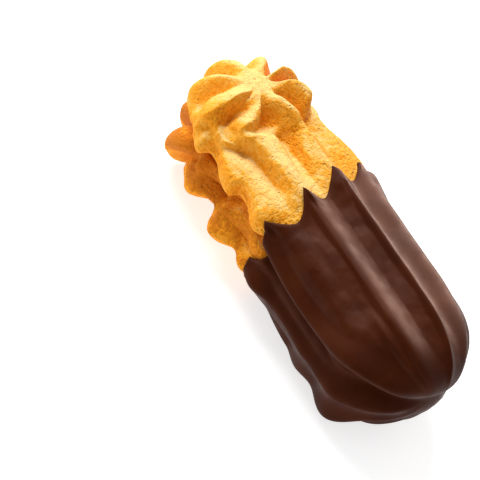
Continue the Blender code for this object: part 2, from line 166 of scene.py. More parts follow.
topFinger = {
    "steps": (34, 90, 130, 40),    # columns for each rib, and rings over the star, the body and the tip
    "seed": 3.0,
    "halfWidth": 15.0,
    "height": 10.3,
    "power": 2.4,    # 2 makes an ellipse, and more a fuller section
    "equator": 2.0,    # height of the widest level over the flat face
    "edgeRounding": 1.35,
    "rayHeight": 4.0,    # height that the rays over the body start from
    "neck": -15.5,    # where along the star's rings end
    "star": (-27.3, -2.9),
    "starTaper": 0.13,
    "tapering": (-8.0, -26.0),
    "bend": -2.0,
    "bending": (-8.0, -26.0),
    "dip": (-4.0, 3.0),    # where the chocolate begins
    "skirt": (-0.2, 0.6, 3.0, 5.5),    # heights where the scallops start, are full, are last full and end
    "scallop": 1.3,
    "scallopStart": (-29.0, -22.0),
    "scallopPitch": 10.4,
    "scallopShift": -0.8,
    "scallopFall": 0.16,
    "scallopCrest": 0.95,
    "ribs": [
        rib((-49, -0.3, -2.7, 0.30), (-54, -0.1, -2.1, 0.47), -4.2, (11.2, 0.8), (0.80, 1.02)),
        rib((15, 0.5, -3.4, 0.50), (13, 0.0, -2.7, 0.62), 1.0, (10.0, 2.0), (0.6, 1.05)),
        rib((80, 1.2, -3.0, 0.62), (76, -0.6, -1.2, 0.6), 0.0, (12.5, 1.5), (0.6, 1.05)),
        rib((108, 2.1, -3.2, 0.42), (98, 0.2, 0.0, 0.9), 0.0, (14.0, 1.5), (0.6, 1.05)),
        rib((138, 1.9, -1.6, 0.50), (140, 0.0, 0.0, 0.5), 0.0, (15.0, 1.0), (0.6, 1.05)),
        rib((187, 0.6, -2.6, 0.60), (200, 0.0, 0.0, 0.5), 0.0, (14.5, 1.0), (0.6, 1.05)),
        rib((230, 0.5, -2.0, 0.38), (250, 0.5, 0.0, 0.5), -2.5, (12.2, 1.2), (0.6, 1.0)),
        rib((282, 0.9, -1.9, 0.25), (272, 0.8, -0.9, 0.5), -3.0, (12.8, 0.9), (0.72, 1.02)),
    ],
    # a bump's place, half sizes and height, which is less than 0 for a hollow
    "bumps": [
        (-18.6, -11.6, 8.8, 3.6, 3.2, 2.6, 0.9),
        (-16.8, -11.9, 6.6, 4.6, 2.2, 2.2, -1.3),
        (-23.5, 12.5, 5.0, 6.0, 5.0, 5.0, 2.7),
        (-19.2, -4.4, 10.9, 2.6, 2.6, 3.0, -1.2),
        (-14.8, -13.4, 7.3, 1.3, 1.0, 1.2, -0.6),
        (-12.0, -12.4, 8.4, 1.5, 1.0, 1.2, -0.6),
        (-9.0, -12.6, 8.2, 1.0, 1.2, 1.2, -0.5),
        (-6.2, -13.0, 7.8, 1.0, 0.8, 1.0, -0.5),
        (-3.6, -12.6, 8.0, 1.1, 0.8, 1.0, -0.5),
    ],
    # height, depth of the foot, run of the steep side, of the foot and of the gentle side,
    # then the fold's line in plan, with the steep side to its right
    "folds": [
        (0.8, 0.8, 1.6, 1.4, 4.0,
         ((-26.8, -15.4), (-24.9, -14.5), (-24.4, -12.4), (-24.3, -10.0), (-24.3, -7.5), (-25.0, -5.0))),
        (1.2, 1.3, 2.2, 2.2, 3.5,
         ((-19.0, -13.4), (-17.4, -11.4), (-15.2, -10.1), (-13.0, -9.5), (-8.0, -9.1), (-1.0, -8.8))),
        (1.0, 0.9, 1.0, 1.6, 3.0,
         ((-19.0, -12.6), (-19.0, -9.6), (-19.8, -7.5), (-21.0, -6.3), (-23.2, -4.4))),
        (0.8, 1.0, 2.6, 2.2, 4.0,
         ((-24.6, -3.6), (-22.0, -1.9), (-18.6, 0.0), (-14.1, -0.5), (-9.3, -1.2), (-1.0, -1.6))),
        (0.7, 1.0, 0.9, 1.2, 2.0,
         ((-22.8, -13.0), (-21.0, -13.9), (-19.0, -13.9), (-17.0, -12.9), (-15.0, -11.6))),
        (0.9, 1.2, 3.2, 1.5, 2.5, ((-27.6, 1.6), (-25.8, 4.6), (-23.4, 6.4), (-20.2, 7.4))),
    ],
}

# built like the top finger, then turned over: its height is how deep it goes below the seam
bottomFinger = {
    "steps": (26, 80, 120, 36),
    "seed": 11.0,
    "halfWidth": 16.0,
    "height": 13.4,
    "power": 2.0,
    "equator": 4.0,
    "edgeRounding": 1.5,
    "rayHeight": 5.0,
    "neck": -15.0,
    "star": (-26.5, -1.0),
    "starTaper": 0.26,
    "tapering": (8.0, -20.0),
    "bend": -1.5,
    "bending": (6.0, -4.0),
    "dip": (-3.0, 3.0),
    "skirt": (0.6, 3.0, 9.0, 12.0),
    "scallop": 1.7,
    "scallopStart": (-28.0, -16.0),
    "scallopPitch": 11.2,
    "scallopShift": -9.0,
    "scallopFall": 0.5,
    "scallopCrest": 1.0,
    "ribs": [
        rib((-45, 0.0, -2.0, 0.5), (-45, 0.0, -2.2, 0.5), reach=(10.0, 2.0)),
        rib((0, 0.0, -2.0, 0.5), (-10, 0.0, -2.4, 0.5), reach=(10.0, 2.0)),
        rib((40, 0.0, -2.0, 0.5), (40, 0.0, -2.2, 0.5), reach=(10.0, 2.0)),
        rib((80, 0.0, -2.0, 0.5), (80, 0.5, -0.8, 0.5), reach=(14.0, 2.0)),
        rib((115, 0.0, -2.0, 0.5), (104, 0.5, 0.0, 1.0)),
        rib((150, 0.0, -2.0, 0.5), (140, 0.0, 0.0, 0.5)),
        rib((178, 0.0, -2.0, 0.5), (180, 0.0, 0.0, 0.5)),
        rib((207, 0.5, -2.4, 0.5), (226, 0.0, 0.0, 0.5), join=(0.6, 1.1)),
        rib((244, 1.9, -2.8, 0.4), (254, 0.6, -2.0, 0.5), 1.0, (17.0, 1.5), (0.8, 1.1)),
        rib((276, 0.4, -2.0, 0.5), (276, 1.0, -1.2, 0.6), 0.0, (14.0, 2.0), (0.7, 1.1)),
    ],
    # lobes and hollows that show in the caves under the top finger's edge
    "bumps": [
        (-22.6, -13.5, 2.2, 2.4, 3.5, 2.2, -1.8),
        (-20.8, -13.5, 3.0, 1.9, 3.5, 2.3, 2.2),
        (-10.6, -14.5, 0.9, 3.2, 3.5, 2.0, -1.8),
        (-13.6, -14.5, 3.2, 1.8, 3.5, 2.4, -1.4),
        (-10.8, -14.5, 3.6, 2.2, 3.5, 2.6, 2.2),
        (1.9, -14.3, 1.6, 3.2, 2.6, 1.8, 1.6),
    ],
    "folds": [],
}


# plain finger on its flat face: less than 1 inside it and 1 at its skin
def fullness(finger, p):
    half = whole["width"] / 2
    tapering = smoothStep(*finger["tapering"], p[:, 0])
    beyondTip = np.maximum(0.0, p[:, 0] - noseMiddle)
    beyondStar = np.maximum(0.0, half - piping["starReach"] - p[:, 0])
    narrowing = (1 - finger["starTaper"] * tapering) * finger["halfWidth"] / half
    aside = p[:, 1] - finger["bend"] * smoothStep(*finger["bending"], p[:, 0])
    across = np.hypot(beyondTip + beyondStar, aside / narrowing) / half
    equator = finger["equator"]
    rise = p[:, 2] - equator
    span = np.where(rise > 0, finger["height"] - equator, equator * finger["edgeRounding"])
    return across ** finger["power"] + (abs(rise) / span) ** finger["power"]


def skinNormals(finger, p, least=1e-9):
    steps = np.eye(3) * piping["slopeStep"]
    slopes = [fullness(finger, p + step) - fullness(finger, p - step) for step in steps]
    normals = np.stack(slopes, axis=1) + least
    return normals / np.linalg.norm(normals, axis=1)[:, None]


# rings shrink onto the star (0 to 1), run square to the body (1 to 2) and close on the tip (2 to 3)
def ringFrames(finger, place):
    starX, starY = finger["star"]
    low = finger["rayHeight"]
    neck = finger["neck"]
    turn = np.clip(place, 0, 1) * math.pi / 2
    rise = finger["height"] - low
    starOrigin = starX + rise * np.sin(turn) + (neck - starX - rise) * (1 - np.cos(turn))
    x = np.where(place < 1, starOrigin, mix(neck, noseMiddle, np.clip(place - 1, 0, 1)))
    z = low - smoothStep(2, 3, place) * (low - finger["equator"])
    zero = np.zeros_like(place)
    origin = np.stack([x, starY * np.cos(turn), z], axis=1)
    axis = np.stack([-np.sin(turn), zero, np.cos(turn)], axis=1)
    crown = np.stack([np.cos(turn), zero, np.sin(turn)], axis=1)
    cone = turn + np.clip(place - 2, 0, 1) * math.pi / 2
    return origin, axis, crown, cone


# a value of the ribs, carried over evenly from each rib to the next
def acrossRibs(finger, place, name, part, turnOver=0):
    values = np.array([np.atleast_1d(each[name])[part] for each in finger["ribs"]])
    return np.interp(place, np.arange(len(values) + 1), np.append(values, values[0] + turnOver))


# rib number and share of the way to the next rib, where half of the columns lie before the groove
def ribPlace(finger, column, stage):
    index = column.astype(int)
    at = np.array([each[stage][3] for each in finger["ribs"]])[index % len(finger["ribs"])]
    half = column - index
    return index, np.where(half < 0.5, 2 * half * at, at + (2 * half - 1) * (1 - at))


def ribAngle(finger, column, place):
    joinStart = acrossRibs(finger, column, "join", 0)
    joinEnd = acrossRibs(finger, column, "join", 1)
    onBody = smoothStep(joinStart, joinEnd, place)
    starPlace = np.add(*ribPlace(finger, column, "star"))
    bodyPlace = np.add(*ribPlace(finger, column, "body"))
    twist = acrossRibs(finger, starPlace, "twist", 0)
    star = acrossRibs(finger, starPlace, "star", 0, 360)
    star += twist * (np.minimum(place, 1) * piping["petalLength"] - piping["petalMiddle"])
    return np.radians(mix(star, acrossRibs(finger, bodyPlace, "body", 0, 360), onBody))


# a petal's edge: smoothly down to a sharp foot, then steeply up and level onto the next petal
def petalEdge(start, end, level, at, u):
    down, up = sharesOf(u, at)
    cliff = mix(start, level, smoothStep(0, 1, down))
    climb = mix(end, level, np.clip(up, 0, 1) ** piping["petalClimb"])
    return np.where(u < at, cliff, climb)


def ribHeight(finger, column, stage):
    table = np.array([each[stage] for each in finger["ribs"]])
    index, share = ribPlace(finger, column, stage)
    _, start, level, at = table[index % len(table)].T
    end = table[(index + 1) % len(table), 1]
    if stage == "star":
        return petalEdge(start, end, level, at, share)
    return groove(start, end, level, at, share, piping["crest"], piping["hollow"])


# petals round the star's middle and ridges along the body, flatter and slimmer under the chocolate
def ribbedHeight(finger, column, place, p, dip):
    distance = np.linalg.norm(p - np.array([*finger["star"], finger["height"]]), axis=1)
    reach = acrossRibs(finger, column, "reach", 0)
    ending = acrossRibs(finger, column, "reach", 1)
    petal = 1 - smoothStep(0.0, 1.0, (distance - reach + ending) / (2 * ending))
    body = ribHeight(finger, column, "body") * smoothStep(*piping["ridgeEnd"], place)
    body = body * smoothStep(*piping["ridgeStart"], place) * (1 - piping["dipFlattening"] * dip)
    body -= piping["dipSlimming"] * dip
    raised = piping["mound"] * (1 - piping["moundFall"] * smoothStep(0.0, 1.0, distance / reach))
    petals = raised + ribHeight(finger, column, "star") * smoothStep(*piping["petalStart"], distance)
    return mix(body, petals, petal)


# waves of the edge beside the seam, out at a lobe and in at a notch
def scallopHeight(finger, p, dip):
    phase = ((p[:, 0] - finger["scallopShift"]) / finger["scallopPitch"]) % 1.0
    drop = 1 - smoothStep(0.0, finger["scallopFall"], phase)
    climb = smoothStep(finger["scallopFall"], finger["scallopCrest"], phase)
    wave = 2 * np.maximum(drop, climb) - 1
    low, lowFull, highFull, high = finger["skirt"]
    skirt = smoothStep(high, highFull, p[:, 2]) * smoothStep(low, lowFull, p[:, 2])
    skirt *= smoothStep(*finger["scallopStart"], p[:, 0]) * (1 - dip)
    return skirt * wave * finger["scallop"]


def bumpHeight(finger, p):
    total = np.zeros(len(p))
    for bump in finger["bumps"]:
        off = (p - bump[0:3]) / bump[3:6]
        total += bump[6] * (1 - smoothStep(0.0, 1.0, np.linalg.norm(off, axis=1)))
    return total


# how far points are from a line in plan, more than 0 to its right, and their share of the way along it
def besideLine(p, line):
    nearest = np.full(len(p), np.inf)
    beside = np.zeros(len(p))
    along = np.zeros(len(p))
    for i, (start, end) in enumerate(zip(line, line[1:])):
        span = np.subtract(end, start)
        off = p[:, :2] - start
        share = np.clip(off @ span / (span @ span), 0, 1)
        gap = np.linalg.norm(off - share[:, None] * span, axis=1)
        right = np.where(off[:, 0] * span[1] > off[:, 1] * span[0], 1, -1)
        nearer = gap < nearest
        nearest = np.where(nearer, gap, nearest)
        beside = np.where(nearer, gap * right, beside)
        along = np.where(nearer, (i + share) / (len(line) - 1), along)
    return beside, along


def foldHeight(finger, p):
    total = np.zeros(len(p))
    ending = piping["foldEnding"]
    for height, foot, steepRun, footRun, gentleRun, line in finger["folds"]:
        beside, along = besideLine(p, line)
        steep = mix(height, -foot, smoothStep(0.0, steepRun, beside))
        footing = -foot * (1 - smoothStep(steepRun, steepRun + footRun, beside))
        gentle = height * (1 - smoothStep(0.0, gentleRun, -beside))
        profile = np.where(beside > steepRun, footing, np.where(beside > 0, steep, gentle))
        total += profile * (smoothStep(0.0, ending, along) * smoothStep(1.0, 1 - ending, along))
    return total * smoothStep(*piping["foldStart"], p[:, 2])


def fingerPoints(finger, column, place):
    origin, axis, crown, cone = ringFrames(finger, place)
    angle = ribAngle(finger, column, place)
    ring = crown * np.cos(angle)[:, None] + np.array([0, 1, 0]) * np.sin(angle)[:, None]
    direction = axis * np.cos(cone)[:, None] + ring * np.sin(cone)[:, None]
    length = lengthInside(lambda p: (p[:, 2] >= 0) & (fullness(finger, p) < 1), origin, direction)
    point = origin + direction * length[:, None]
    dip = smoothStep(*finger["dip"], point[:, 0])
    height = ribbedHeight(finger, column, place, point, dip) + scallopHeight(finger, point, dip)
    height += bumpHeight(finger, point) + foldHeight(finger, point)
    for size, depth in piping["lumps"]:
        height += depth * noiseAt(point, size, finger["seed"])
    height *= smoothStep(*piping["flatFace"], point[:, 2])
    shaped = point + skinNormals(finger, point) * height[:, None]
    shaped[:, 2] = np.maximum(0.0, shaped[:, 2])
    return shaped


def makeFinger(name, finger, turnedOver, poleGap=1e-4):
    perRib, starRings, bodyRings, tipRings = (steps // coarser for steps in finger["steps"])
    rings = starRings + bodyRings + tipRings
    piece, column, ring = ball(name, len(finger["ribs"]) * perRib, rings)
    marks = [0, starRings, starRings + bodyRings, rings]
    place = np.clip(np.interp(ring, marks, [0, 1, 2, 3]), poleGap, 3 - poleGap)
    points = fingerPoints(finger, column / perRib, place)
    side = -1 if turnedOver else 1
    points[:, 2] = whole["seamHeight"] + side * (whole["seamGap"] / 2 + points[:, 2])
    points[:, 2] = np.maximum(points[:, 2], 0.0)
    points[:, :2] += whole["centring"]
    carry(piece, points)
    # the turned attribute holds painted shade, by facing and beside the seam, and the upper finger's darker
    # far side
    shadeAndBaking = paintedShadeByFacing(piece.data) + seamShadeAndFarSide(piece.data, turnedOver)
    attribute = piece.data.attributes.new("turned", "FLOAT", "POINT")
    attribute.data.foreach_set("value", shadeAndBaking.astype(np.float32))
    return piece


chocolateCoat = {
    "columns": 360,
    "tipRings": 60,
    "bodyRings": 66,
    "lipRings": 4,
    "reachRays": (85, 180),    # along and round
    "clearance": 0.35,
    "thickness": 0.8,
    "leastWall": 0.45,
    "innerBlend": 0.1,
    "outerBlend": 0.2,
    "halfWidth": 15.6,
    "rise": 10.5,
    "drop": 14.4,
    "powerUp": 2.4,
    "powerDown": 2.8,
    "tipCutback": 0.22,
    "noseReach": 1.04,
    "noseShift": -1.6,
    "noseShifting": (18.0, 38.0),
    "lumps": (6.0, 0.12, 31.0),    # size, height and seed
    "seamDip": (2.0, 2.0),    # depth, and half its height
    "seamDipStart": (0.9, 0.5),    # this and the next are shares of the way over the round nose
    "ribStart": (0.1, 0.7),
    "crest": 0.22,
    "hollow": 1.0,
    # ribs beside the seam stray sideways: angle, half angle, place and half length, then degrees at most
    "stray": (-82.0, 32.0, 15.0, 24.0, 13.0),
    # near its edge the far side lies close to the fingers, more and more between the first two angles and
    # less and less between the last two; hugStart is a share of the way to the edge
    "hugAngles": (52.0, 75.0, 232.0, 244.0),
    "hugStart": 0.66,
    "edgePower": 1.7,
    # angle and place along, by turns a point on a crest and a round dip in a groove
    "edge": [
        (-73, -1.2), (-58, 2.2), (-38, -3.1), (-26, -0.2), (5, -5.8), (30, -2.7), (47, -6.5), (66, -3.5),
        (84, -5.0), (92, -1.0), (100, -3.0), (118, 0.5), (140, -2.0), (160, 1.5), (180, -1.0), (200, 2.5),
        (222, 0.5), (240, 2.0), (256, 0.5), (266, 3.0), (287, -1.2),
    ],
    # angle, crest height, groove level, share of the way to the groove
    "ribs": [
        (-39, 0.3, -1.7, 0.72), (9, 0.6, -0.9, 0.4), (47, 0.3, -0.6, 0.5), (82, 0.4, -0.9, 0.45),
        (98, 0.3, -0.8, 0.5), (125, 0.3, -1.0, 0.5), (155, 0.8, -0.7, 0.5), (180, 0.9, -0.7, 0.5),
        (206, 0.8, -0.7, 0.5), (230, 0.5, -0.6, 0.5), (250, 0.5, -1.7, 0.55), (283, 0.9, -1.5, 0.62),
    ],
    # place along, angle, half length, half angle, height
    "lobes": [
        (4.5, 246, 6.0, 20, 1.5), (20.5, 238, 5.0, 18, 1.3), (31.0, 232, 6.0, 22, 2.2),
        (32.0, -50, 13.0, 7, 1.0), (1.8, 2, 0.9, 4.5, -0.9),
    ],
}


# rays that carry the coat's points: share runs from 0 at the tip to 1 at the coat's edge
def coatRays(angle, share):
    coat = chocolateCoat
    tipShare = coat["tipRings"] / (coat["tipRings"] + coat["bodyRings"])
    cone = np.minimum(share / tipShare, 1) * math.pi / 2
    along = np.clip((share - tipShare) / (1 - tipShare), 0, 1)
    x = mix(noseMiddle, coatEdge(angle), along)
    origin = np.stack([x, np.zeros_like(x), np.full_like(x, whole["seamHeight"])], axis=1)
    direction = np.stack([np.cos(cone), np.sin(cone) * np.sin(angle), np.sin(cone) * np.cos(angle)], axis=1)
    return origin, direction


def insideCoat(p):
    coat = chocolateCoat
    rise = p[:, 2] - whole["seamHeight"]
    cutback = 1 + coat["tipCutback"] * np.maximum(0.0, -rise) / coat["drop"]
    beyond = np.maximum(0.0, p[:, 0] - noseMiddle) * cutback / coat["noseReach"]
    aside = p[:, 1] - coat["noseShift"] * smoothStep(*coat["noseShifting"], p[:, 0])
    across = np.hypot(beyond, aside) / coat["halfWidth"]
    above = across ** coat["powerUp"] + (abs(rise) / coat["rise"]) ** coat["powerUp"]
    below = across ** coat["powerDown"] + (abs(rise) / coat["drop"]) ** coat["powerDown"]
    return np.where(rise > 0, above, below) < 1


# a table's rows on both sides of an angle, and its share of the way between them
def rowsAround(table, angle):
    degrees = (np.degrees(angle) - table[0, 0]) % 360 + table[0, 0]
    index = np.clip(np.searchsorted(table[:, 0], degrees, side="right") - 1, 0, len(table) - 2)
    here = table[index]
    following = table[index + 1]
    return index, here, following, (degrees - here[:, 0]) / (following[:, 0] - here[:, 0])


def coatRib(angle):
    coat = chocolateCoat
    ribs = coat["ribs"]
    table = np.array(ribs + [(ribs[0][0] + 360, *ribs[0][1:])])
    _, here, following, u = rowsAround(table, angle)
    return groove(here[:, 1], following[:, 1], here[:, 2], here[:, 3], u, coat["crest"], coat["hollow"])


def coatEdge(angle):
    index, here, following, u = rowsAround(np.array(chocolateCoat["edge"]), angle)
    fromCrest = mix(following[:, 1], here[:, 1], (1 - u) ** chocolateCoat["edgePower"])
    toCrest = mix(here[:, 1], following[:, 1], u ** chocolateCoat["edgePower"])
    return np.where(index % 2 == 0, fromCrest, toCrest)


def turnFrom(angle, middle):
    return (np.degrees(angle) - middle + 180) % 360 - 180


def coatLobes(angle, x):
    total = np.zeros(len(x))
    for along, middle, halfLength, halfAngle, height in chocolateCoat["lobes"]:
        off = np.hypot((x - along) / halfLength, turnFrom(angle, middle) / halfAngle)
        total += height * (1 - smoothStep(0.0, 1.0, off))
    return total


def strayed(angle, x):
    middle, halfAngle, along, halfLength, most = chocolateCoat["stray"]
    nearMiddle = 1 - smoothStep(0.0, 1.0, abs(turnFrom(angle, middle)) / halfAngle)
    nearPlace = 1 - smoothStep(0.0, 1.0, abs(x - along) / halfLength)
    return angle + np.radians(most) * nearMiddle * nearPlace


def softMax(a, b, width):
    return (a + b + np.hypot(a - b, width)) / 2


def treeOf(piece):
    bm = bmesh.new()
    bm.from_mesh(piece.data)
    tree = BVHTree.FromBMesh(bm)
    bm.free()
    return tree


# how far the fingers come out along rays of the coat, spread to the rays beside them
def fingerReach(trees):
    rows, columns = chocolateCoat["reachRays"]
    angles = np.arange(columns) * 2 * math.pi / columns
    shift = Vector((*whole["centring"], 0))
    grid = np.zeros((rows, columns))
    for row, share in enumerate(np.linspace(0, 1, rows)):
        origins, directions = coatRays(angles, np.full_like(angles, share))
        for i, (origin, direction) in enumerate(zip(origins, directions)):
            ray = Vector(direction)
            start = (Vector(origin) + shift + ray * whole["length"]) * mm
            hits = [tree.ray_cast(start, -ray) for tree in trees]
            reached = [whole["length"] - hit[3] / mm for hit in hits if hit[0] is not None]
            grid[row, i] = max(reached, default=0.0)
    spread = np.maximum.reduce([np.roll(grid, i, axis=1) for i in (-1, 0, 1)])
    longer = np.pad(spread, ((1, 1), (0, 0)), mode="edge")
    spread = np.maximum.reduce([longer[:-2], longer[1:-1], longer[2:]])
    spread[0] = spread[0].max()
    return spread


def readGrid(grid, share, angle):
    rows, columns = grid.shape
    row = share * (rows - 1)
    low = np.minimum(row.astype(int), rows - 2)
    turn = angle / (2 * math.pi) * columns
    left = turn.astype(int) % columns
    right = (left + 1) % columns
    across = turn % 1.0
    nearTip = mix(grid[low, left], grid[low, right], across)
    nearEdge = mix(grid[low + 1, left], grid[low + 1, right], across)
    return mix(nearTip, nearEdge, row - low)


# how far out the coat's skin lies along its rays, before the fingers push it out
def coatSkin(angle, fromTip, origin, direction):
    coat = chocolateCoat
    skin = lengthInside(insideCoat, origin, direction)
    x = origin[:, 0] + direction[:, 0] * skin
    skin += (coatRib(strayed(angle, x)) + coatLobes(angle, x)) * smoothStep(*coat["ribStart"], fromTip)
    depth, half = coat["seamDip"]
    z = direction[:, 2] * skin
    skin -= depth * np.exp(-(z / half) ** 2) * smoothStep(*coat["seamDipStart"], fromTip)
    size, height, seed = coat["lumps"]
    return skin + height * noiseAt(origin + direction * skin[:, None], size, seed)


def hugging(angle, share):
    start, full, fullEnd, end = chocolateCoat["hugAngles"]
    degrees = np.degrees(angle)
    farSide = smoothStep(start, full, degrees) * smoothStep(end, fullEnd, degrees)
    return farSide * smoothStep(chocolateCoat["hugStart"], 1.0, share)


# the ball's first half becomes the coat's inside, its second half the outside, and they meet at the lip
def makeCoat(name, trees):
    coat = chocolateCoat
    columns = coat["columns"] // coarser
    tipRings = coat["tipRings"] // coarser
    skinRings = tipRings + coat["bodyRings"] // coarser
    halfRings = skinRings + coat["lipRings"]
    piece, column, ballRing = ball(name, columns, 2 * halfRings)
    ring = np.minimum(ballRing, 2 * halfRings - ballRing)
    outside = ballRing > halfRings
    onLip = ring >= skinRings
    angle = column * 2 * math.pi / columns
    share = np.minimum(ring, skinRings) / skinRings
    origin, direction = coatRays(angle, share)

    under = readGrid(fingerReach(trees), share, angle) + coat["clearance"]
    skin = coatSkin(angle, ring / tipRings, origin, direction)
    skin = mix(skin, np.minimum(skin, under + coat["thickness"]), hugging(angle, share))
    inner = softMax(skin - coat["thickness"], under, coat["innerBlend"])
    outer = softMax(skin, inner + coat["leastWall"], coat["outerBlend"])

    # the lip is a half round from the inner to the outer skin
    lip = np.clip((ring - skinRings) / coat["lipRings"], 0, 1) * math.pi / 2
    lip = np.where(outside, math.pi - lip, lip)
    half = (outer - inner) / 2
    length = np.where(onLip, (inner + outer) / 2 - half * np.cos(lip), np.where(outside, outer, inner))
    origin[:, 0] -= np.where(onLip, half * np.sin(lip), 0)
    points = origin + direction * length[:, None]
    points[:, 2] = np.maximum(points[:, 2], np.where(outside, 0.0, coat["leastWall"]))
    points[:, :2] += whole["centring"]
    carry(piece, points)
    return piece


# a node socket that takes part in Python expressions
class Wire:
    def __init__(self, finish, socket):
        self.finish = finish
        self.socket = socket

    def maths(self, operation, *values):
        return self.finish.node("ShaderNodeMath", {"operation": operation}, dict(enumerate(values)))

    def __add__(self, other):
        return self.maths("ADD", self, other)

    def __sub__(self, other):
        return self.maths("SUBTRACT", self, other)

    def __rsub__(self, other):
        return self.maths("SUBTRACT", other, self)

    def __mul__(self, other):
        return self.maths("MULTIPLY", self, other)

    __radd__ = __add__
    __rmul__ = __mul__

    # 0 at low and 1 at high, also where low is the larger one
    def over(self, low, high):
        values = {"Value": self, "From Min": low, "From Max": high}
        return self.finish.node("ShaderNodeMapRange", {"interpolation_type": "SMOOTHSTEP"}, values)


class Finish:
    def __init__(self, name):
        self.material = bpy.data.materials.new(name)
        self.material.use_nodes = True
        self.nodes = self.material.node_tree.nodes
        self.links = self.material.node_tree.links
        self.shader = self.nodes["Principled BSDF"]

    def put(self, socket, value):
        if isinstance(value, Wire):
            self.links.new(value.socket, socket)
        elif isinstance(value, tuple) and len(value) == 3 and len(socket.default_value) == 4:
            socket.default_value = (*value, 1)
        else:
            socket.default_value = value

    def node(self, kind, settings, values, output=0):
        made = self.nodes.new(kind)
        for key, value in settings.items():
            if key == "stops":
                self.setStops(made.color_ramp, value)
            else:
                setattr(made, key, value)
        for key, value in values.items():
            self.put(made.inputs[key], value)
        return Wire(self, made.outputs[output])

    def setStops(self, ramp, stops):
        while len(ramp.elements) < len(stops):
            ramp.elements.new(0.5)
        for element, (place, colour) in zip(ramp.elements, stops):
            element.position = place
            element.color = (*colour, 1)

    def place(self):
        return self.node("ShaderNodeTexCoord", {}, {}, "Object")

    def attribute(self, name):
        return self.node("ShaderNodeAttribute", {"attribute_name": name}, {}, "Fac")

    def noise(self, size, detail=2.0, roughness=0.5):
        values = {"Vector": self.place(), "Scale": 1 / (size * mm), "Detail": detail, "Roughness": roughness}
        return self.node("ShaderNodeTexNoise", {}, values)

    def cells(self, size):
        return self.node("ShaderNodeTexVoronoi", {}, {"Vector": self.place(), "Scale": 1 / (size * mm)})

    # a Mix node's colour sockets go by number, because its names repeat
    def colours(self, factor, first, second):
        return self.node("ShaderNodeMix", {"data_type": "RGBA"}, {0: factor, 6: first, 7: second}, 2)

    def bump(self, height, distance):
        return self.node("ShaderNodeBump", {}, {"Height": height, "Distance": distance * mm})

    def set(self, values):
        for name, value in values.items():
            self.put(self.shader.inputs[name], value)


bakedBiscuit = {
    # painted shade: surfaces turned away from this direction, which stands in for the light, are painted
    # darker and more orange
    "paintedLightFrom": (-0.40, 0.0, 0.90),
    "mostTurned": 0.5,
    # painted shade beside the seam on the lower finger, where the top finger's edge shades it: most, then
    # where it starts and is full, in height and along; a share of it is left towards the tip
    "shaded": (0.6, 5.0, 11.0, -8.0, -20.0),
    "shadedLeast": 0.4,
    # darker, more orange colour on the upper finger's far side: most, then where it starts and is full,
    # across and along
    "farSide": (0.28, -4.0, 6.0, -23.0, -17.0),
    # from pale to toasted; the share that picks a colour holds painted shade as well as uneven browning
    "colours": (
        (0.0, (0.95, 0.59, 0.19)),    # pale
        (0.42, (0.95, 0.43, 0.042)),    # golden
        (0.8, (0.90, 0.32, 0.007)),    # browned
        (1.0, (0.62, 0.18, 0.003)),    # toasted
    ),
    "shadeAndBakingRange": (0.0, 0.8),
    "unevenness": 0.7,
    "patches": {"size": 5.0, "detail": 4.0, "roughness": 0.6},
    "grain": {"size": 0.9, "detail": 3.0, "roughness": 0.65},
    "crumb": {"size": 0.4},
    "crumbHeight": 0.6,
    "poreSize": 0.9,
    "poreEdge": (0.35, 0.1),
    "poreGroups": {"size": 3.0},
    "poreGroupEdge": (0.5, 0.62),
    # pores are painted darker brown: painted shade in the pits
    "poreShadeColour": (0.42, 0.17, 0.02),
    "poreShade": 0.25,
    "poreDepth": 0.4,
    "relief": 0.6,
    "roughness": 0.85,
    "gloss": 0.2,
}


# painted shade: 0 where the surface faces paintedLightFrom, a direction standing in for the light, and more
# the further it turns away
def paintedShadeByFacing(mesh):
    heat = np.array(bakedBiscuit["paintedLightFrom"]) / np.linalg.norm(bakedBiscuit["paintedLightFrom"])
    return np.minimum(1 - readVertices(mesh, "normal") @ heat, bakedBiscuit["mostTurned"])


# painted shade beside the seam on the lower finger; on the upper finger, darker colour on its far side
def seamShadeAndFarSide(mesh, turnedOver):
    x, y, z = readVertices(mesh, "co").T / mm
    if turnedOver:
        most, start, full, near, far = bakedBiscuit["shaded"]
        along = mix(bakedBiscuit["shadedLeast"], 1, smoothStep(near, far, x))
        return most * smoothStep(start, full, z) * along
    most, start, full, near, far = bakedBiscuit["farSide"]
    return most * smoothStep(start, full, y) * smoothStep(near, far, x)


def makeBiscuitFinish(name, kind):
    finish = Finish(name)
    grain = finish.noise(**kind["grain"])
    uneven = finish.noise(**kind["patches"]) + grain - 1    # both noises lie about 0.5
    # the turned attribute carries painted shade; with the uneven noise it picks the colour
    shadeAndBaking = (finish.attribute("turned") + uneven * kind["unevenness"]).over(*kind["shadeAndBakingRange"])
    colour = finish.node("ShaderNodeValToRGB", {"stops": kind["colours"]}, {"Fac": shadeAndBaking})
    poreGroups = finish.noise(**kind["poreGroups"]).over(*kind["poreGroupEdge"])
    pores = finish.cells(kind["poreSize"]).over(*kind["poreEdge"]) * poreGroups
    # painted shade in the pores
    colour = finish.colours(pores * kind["poreShade"], colour, kind["poreShadeColour"])
    bumped = grain + finish.noise(**kind["crumb"]) * kind["crumbHeight"] - pores * kind["poreDepth"]
    finish.set({"Base Color": colour, "Roughness": kind["roughness"], "Specular IOR Level": kind["gloss"]})
    finish.set({"Normal": finish.bump(bumped, kind["relief"])})
    return finish.material


darkChocolate = {
    "deep": (0.034, 0.0046, 0.0003),
    "lifted": (0.052, 0.0090, 0.0010),
    "clouds": {"size": 7.0, "detail": 4.0, "roughness": 0.55},
    "cloudEdge": (0.3, 0.7),
    "roughness": (0.42, 0.55),
    "roughPatches": {"size": 3.0, "detail": 3.0},
    "roughEdge": (0.3, 0.7),
    "waves": {"size": 3.0},
    "waveHeight": 0.3,
    "ripples": {"size": 0.6},
    "rippleHeight": 0.06,
    "relief": 0.12,
    "gloss": 0.14,
    "sheen": (1.0, 0.55, 0.42),
}


